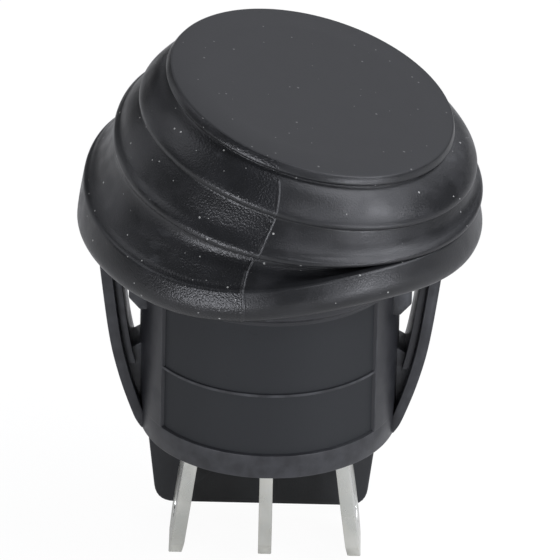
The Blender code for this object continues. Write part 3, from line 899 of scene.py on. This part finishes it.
def fieldShareAt(angle, look):
    # 1 inside the front or back field, with a steep wall at its sides
    inside = min(abs(around(angle, 90)), abs(around(angle, 270)))
    return clamp((look["fieldHalfAngle"] + look["fieldWall"] / 2 - inside) / look["fieldWall"])


def barrelRows(look):
    # up the outside and down the bore: radius, height and share of the field's depth; the small
    # numbers round the edges
    barrel, bottom, collar = look["barrel"], look["bottom"], look["collar"]
    flange, bore, edge = look["flange"], look["bore"], 0.035 * mm
    low, top, middle = bottom + look["footRing"], look["fieldTop"], look["divider"]
    under, over = middle - look["dividerWidth"] / 2, middle + look["dividerWidth"] / 2
    across = 1 - look["dividerHeight"]
    rows = [(barrel - 0.14 * mm, bottom, 0), (barrel - 0.05 * mm, bottom + 0.03 * mm, 0),
            (barrel, bottom + 0.12 * mm, 0), (barrel, low - 0.10 * mm, 0),
            (barrel - 0.012 * mm, low - edge, 0), (barrel, low, 0.45), (barrel, low + edge, 1)]
    rows += [(barrel, low + (under - low) * part, 1) for part in (0.33, 0.66)]
    rows += [(barrel, under - edge, 1), (barrel, under, across), (barrel, over, across),
             (barrel, over + edge, 1)]
    rows += [(barrel, middle + (top - middle) * part, 1) for part in (0.35, 0.7)]
    rows += [(barrel, top - edge, 1), (barrel, top, 0), (barrel, top + edge, 0)]
    outline = [(barrel, -2.22), (barrel + 0.04 * mm, -2.16), (collar - 0.05 * mm, -1.84), (collar, -1.74),
               (collar, 0.42), (collar + 0.08 * mm, 0.5), (flange - 0.1 * mm, 0.5), (flange, 0.58),
               (flange, 1.22), (flange - 0.08 * mm, 1.3), (bore + 1.06 * mm, 1.3), (bore + 1.0 * mm, 1.36),
               (bore + 1.0 * mm, 2.5), (bore + 0.9 * mm, 2.6), (bore + 0.1 * mm, 2.6), (bore, 2.5)]
    rows += [(radius, height * mm, 0) for radius, height in outline]
    return rows + [(bore, bottom + 0.16 * mm, 0), (bore + 0.14 * mm, bottom, 0)]


def makeBarrel(look):
    columns = fieldColumns(look)
    shape = bmesh.new()
    fieldLayer = shape.verts.layers.float.new("fieldShare")
    rings = []
    for radius, height, sunk in barrelRows(look):
        ring = []
        for column in columns:
            inside = fieldShareAt(column, look) * sunk
            angle = math.radians(column)
            away = radius - look["fieldDepth"] * inside
            vert = shape.verts.new((away * math.cos(angle), away * math.sin(angle), height))
            vert[fieldLayer] = 1.0 if inside > 0.97 else 0.0
            ring.append(vert)
        rings.append(ring)
    bridgeRings(shape, rings)
    mesh = meshFrom("barrel", shape)
    markSharp(mesh, 42)
    return linkPiece("barrelShape", mesh)


# Share of the way from the wing's foot to its tip, and height in mm, up the outer face.
wingRise = [
    (0.0, -12.5), (0.10, -12.1), (0.19, -11.6), (0.38, -10.2), (0.53, -8.9), (0.68, -7.3),
    (0.79, -5.6), (0.89, -3.6), (0.955, -2.2), (0.985, -1.5),
]

# Outline of the web at the wing's foot, in mm: distance from the barrel's wall, and height.
gussetShape = [(0.1, -11.5), (0.6, -10.2), (1.0, -8.9), (1.3, -8.0), (-0.575, -6.9), (-0.575, -11.5)]


def wingLine(look):
    foot = look["barrel"] - look["wingFoot"]
    reach = look["wingTip"] - foot
    points = [(foot + share * reach, height * mm, 0, 0, 0, 0) for share, height in wingRise]
    return [spot[:2] for spot in curveThrough(points, 3)]


def layerOutline(line, near, far, top):
    # a band between two distances inside the outer face, cut flat at the top
    outer = [(x - near, z) for x, z in line if z < top - 0.25 * mm]
    inner = [(x - far, z) for x, z in line if z < top - 0.02 * mm]
    tip = [(outer[-1][0] + 0.03 * mm, top - 0.2 * mm), (outer[-1][0] - 0.1 * mm, top)]
    return outer + tip + [(inner[-1][0], top)] + list(reversed(inner))


def makeWing(side, look):
    line, barrel, top = wingLine(look), look["barrel"], look["wingTop"]
    plate, groove, overlap = look["plate"], look["plate"] + look["groove"], look["overlap"]
    upper = [(x, z) for x, z in line if z > look["ribLow"]]
    face = [(max(x, barrel - look["plateSunk"]), z) for x, z in layerOutline(line, 0.0, plate, top)]
    gusset = [(barrel + x * mm, z * mm) for x, z in gussetShape]
    pieces = [
        ("plate", face, look["wingWidth"], look["edge"]),
        ("web", layerOutline(upper, plate - overlap, groove + overlap, top),
         look["ribWidth"] - look["grooveWeb"], look["innerEdge"]),
        ("rib", layerOutline(upper, groove, groove + look["rib"], top), look["ribWidth"], look["innerEdge"]),
        ("gusset", roundedLoop(gusset, 0.08 * mm), look["webWidth"], look["innerEdge"]),
    ]
    made = []
    for word, outline, width, edge in pieces:
        mesh = extrudeLoop(word, facing(side, outline), -width / 2, width / 2)
        item = linkPiece(f"{word}Shape{side}", mesh)
        softenEdges(item, edge, segments=2, angle=40)
        made.append(item)
    return made


def makeShoulder(side, look):
    barrel, out, half = look["barrel"], look["shoulderOut"], look["shoulderHalf"]
    root = barrel - look["root"]
    top, edge, low = look["shoulderHeights"]
    outline = roundedLoop([(root, top, 0), (root, low, 0), (barrel, low, 0.05 * mm),
                           (out, edge, 0.25 * mm), (out, top, 0)])
    item = linkPiece(f"shoulderShape{side}", extrudeLoop("shoulder", facing(side, outline), -half, half))
    softenEdges(item, look["shoulderEdge"], segments=2, angle=40)
    return item


def drillPockets(barrel, look):
    for side in (-1, 1):
        low, high = sorted(side * reach for reach in look["pocketReach"])
        mesh = extrudeLoop("pocket", circle(look["pocketRadius"], 32), low, high)
        cutOrJoin(barrel, linkPiece(f"pocketTool{side}", mesh), "DIFFERENCE")


def makeHousing(look):
    barrel = makeBarrel(look)
    drillPockets(barrel, look)
    parts = [barrel]
    for side in (-1, 1):
        parts += makeWing(side, look) + [makeShoulder(side, look)]
    housing = linkPiece("housingShell", joinPieces("housingShell", parts), "housingPlastic")
    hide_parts("housing")
    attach(housing, "switch_body")


makeHousing(housingSet)
print("housing made")


# Base plate with the barrier behind the terminals

baseSet = {
    "radius": 6.2 * mm,
    "low": -12.3 * mm,
    "top": -10.75 * mm,
    "near": 3.6 * mm,
    "thick": 1.0 * mm,
    "bottom": -20.7 * mm,
    "offset": -0.3 * mm,
    "topHalf": 7.2 * mm,
    "lowHalf": 6.3 * mm,
    "corner": 1.25 * mm,
    "neckHalf": 2.8 * mm,
    "neckTop": -11.25 * mm,
    "under": -12.8 * mm,
    "chamfer": 0.1 * mm,
    "edge": 0.12 * mm,
    "grooveRadius": 5.45 * mm,
    "grooveHeights": (-11.95 * mm, -11.05 * mm),
    "pitch": 4.2 * mm,
    "slotHalf": (0.5 * mm, 2.5 * mm),
}


def makeBasePlate(look):
    radius, low, top, groove = look["radius"], look["low"], look["top"], look["grooveRadius"]
    under, over = look["grooveHeights"]
    profile = [(0.0, low), (radius - look["chamfer"], low), (radius, low + look["chamfer"]), (radius, under),
               (groove, under), (groove, over), (radius, over), (radius, top), (0.0, top)]
    shape = bmesh.new()
    rings = []
    for away, height in profile:
        spots = circle(away, 128) if away > 0 else [(0.0, 0.0)]
        rings.append([shape.verts.new((x, y, height)) for x, y in spots])
    bridgeRings(shape, rings)
    return linkPiece("basePlate", meshFrom("basePlate", shape))


def makeBarrier(look):
    shift, neck, under = look["offset"], look["neckHalf"], look["under"]
    right = [(neck, look["neckTop"], 0), (neck, under, 0.2 * mm), (look["topHalf"] + shift, under, 0.3 * mm),
             (look["lowHalf"] + shift, look["bottom"], look["corner"])]
    left = [(-look["lowHalf"] + shift, look["bottom"], look["corner"]),
            (-look["topHalf"] + shift, under, 0.3 * mm), (-neck, under, 0.2 * mm),
            (-neck, look["neckTop"], 0)]
    outline = roundedLoop(right + left, steps=7)
    near, far = look["near"], look["near"] + look["thick"]
    barrier = linkPiece("barrierShape", extrudeLoop("barrier", outline, near, far))
    softenEdges(barrier, look["edge"], segments=3, angle=50)
    return barrier


def makeBase(look):
    base = makeBasePlate(look)
    cutOrJoin(base, makeBarrier(look), "UNION")
    wide, deep = look["slotHalf"]
    low, high = look["low"] - mm, look["top"] + mm
    for number, place in enumerate((-look["pitch"], 0.0, look["pitch"])):
        box = [(place - wide, -deep), (place + wide, -deep), (place + wide, deep), (place - wide, deep)]
        slot = linkPiece(f"slotTool{number}", extrudeLoop("slot", box, low, high, "Z"))
        cutOrJoin(base, slot, "DIFFERENCE")
    base.data.shade_smooth()
    markSharp(base.data, 30)
    # painted shade: the base plate and barrier take the plastic darkened for the shadow under the body
    paint(base, "barrierPlasticWithPaintedShade")
    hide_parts("base_plate")
    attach(base, "switch_body")


makeBase(baseSet)
print("base plate and barrier made")


# Terminals: stamped blades with a solder hole

terminalSet = {
    "pitch": 4.2 * mm,
    "width": 4.8 * mm,
    "thick": 0.8 * mm,
    "tip": -21.3 * mm,
    "splay": 7.5,
    "bend": -12.6 * mm,
    "point": 1.1 * mm,
    "pointHalf": 1.4 * mm,
    "hole": 0.7 * mm,
    "holeHeight": -18.9 * mm,
    "edge": 0.07 * mm,
    "leafReach": 1.9 * mm,
    "leafOuter": 0.5 * mm,
    "leafInner": 0.12 * mm,
    "bendRadius": 1.2 * mm,
    "notchHalf": 1.7 * mm,
    "notchFloor": -7.7 * mm,
    "prongTop": -6.6 * mm,
}


def cutTip(item, look, reach):
    wide, half, tip, shoulder = look["width"] / 2, look["pointHalf"], look["tip"], look["tip"] + look["point"]
    tools = [[(side * half, tip - mm), (side * half, tip), (side * wide, shoulder),
              (side * (wide + mm), shoulder), (side * (wide + mm), tip - mm)] for side in (-1, 1)]
    for outline in tools + [circle(look["hole"], 40, look["holeHeight"])]:
        tool = linkPiece("tipTool", extrudeLoop("tipTool", outline, reach[0], reach[1], "X"))
        cutOrJoin(item, tool, "DIFFERENCE")


def finishTerminal(item, node, look, reach):
    cutTip(item, look, reach)
    softenEdges(item, look["edge"], segments=2, angle=30)
    paint(item, "tinPlate")
    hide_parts(node)
    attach(item, "switch_body")


def makeSideTerminal(side, node, look):
    half, wide, bend, tip = look["thick"] / 2, look["width"] / 2, look["bend"], look["tip"]
    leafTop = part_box(node)[1].z
    near, far = look["pitch"] - half, look["pitch"] + half
    leafEnd = near - look["leafReach"]
    drift = (bend - tip) * math.tan(math.radians(look["splay"]))
    outline = roundedLoop([
        (leafEnd, leafTop), (far, leafTop, look["leafOuter"]), (far, bend, look["bendRadius"]),
        (far + drift, tip, 0), (near + drift, tip, 0), (near, bend, look["bendRadius"]),
        (near, leafTop - look["thick"], look["leafInner"]), (leafEnd, leafTop - look["thick"]),
    ])
    item = linkPiece(f"{node}_blade", extrudeLoop(node, facing(side, outline), -wide, wide))
    finishTerminal(item, node, look, sorted((side * look["pitch"] / 2, side * 2 * look["pitch"])))


def makeMiddleTerminal(look):
    half, notch, thin = look["width"] / 2, look["notchHalf"], look["thick"] / 2
    floor, prong = look["notchFloor"], look["prongTop"]
    outline = [(-half, look["tip"]), (half, look["tip"]), (half, prong), (notch, prong),
               (notch, floor), (-notch, floor), (-notch, prong), (-half, prong)]
    item = linkPiece("terminal_middle_blade", extrudeLoop("terminal_middle", outline, -thin, thin, "X"))
    finishTerminal(item, "terminal_middle", look, (-2 * look["thick"], 2 * look["thick"]))


makeSideTerminal(-1, "terminal_left", terminalSet)
makeSideTerminal(1, "terminal_right", terminalSet)
makeMiddleTerminal(terminalSet)
print("terminals made")


# Spring: a wire swept along a spiral by a node tree

springSet = {
    "wire": 0.16 * mm,
    "radius": 1.1 * mm,
    "turns": 6.0,
    "low": -3.94 * mm,
    "high": -0.86 * mm,
    "tilt": 13.5,
}


def buildCoilTree():
    tree, into, out = newGroup(
        "coiledWire",
        {"Geometry": "Geometry", "Wire": 0.0002, "Radius": 0.001, "Turns": 5.0, "Height": 0.004,
         "Finish": "Material"},
        {"Geometry": "Geometry"}, "GeometryNodeTree")
    given = into.outputs
    coil = put(tree, "GeometryNodeCurveSpiral", Resolution=40, Rotations=given["Turns"],
               Start_Radius=given["Radius"], End_Radius=given["Radius"], Height=given["Height"])
    ring = put(tree, "GeometryNodeCurvePrimitiveCircle", Resolution=12, Radius=given["Wire"])
    sweep = put(tree, "GeometryNodeCurveToMesh", Fill_Caps=True, Curve=coil.outputs[0],
                Profile_Curve=ring.outputs[0])
    closeTree(tree, sweep.outputs[0], into, out)
    return tree


def makeSpring(look):
    spring = linkPiece("coilSpring", bpy.data.meshes.new("coilSpring"))
    applyTree(spring, buildCoilTree(), {
        "Wire": look["wire"], "Radius": look["radius"], "Turns": look["turns"],
        "Height": look["high"] - look["low"], "Finish": finishes["springSteel"],
    })
    tilted = Matrix.Rotation(math.radians(look["tilt"]), 4, "Y")
    spring.data.transform(tilted @ Matrix.Translation((0, 0, look["low"])))
    spring.data.shade_smooth()
    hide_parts("spring")
    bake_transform(spring)


makeSpring(springSet)
print("spring made")


# Finishes of the solids that stay as they are

stayingFinishes = {
    "rocker": "innerPlastic",
    "plunger": "plungerPlastic",
    "base_seal": "sealRubber",
    "contact_blade": "copperBlade",
    "moving_contact_left": "contactSilver",
    "moving_contact_right": "contactSilver",
    "fixed_contact_left": "contactSilver",
    "fixed_contact_right": "contactSilver",
}
for node, finish in stayingFinishes.items():
    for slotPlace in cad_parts[node].material_slots:
        slotPlace.material = finishes[finish]
print("solids that stay are finished:", len(stayingFinishes))
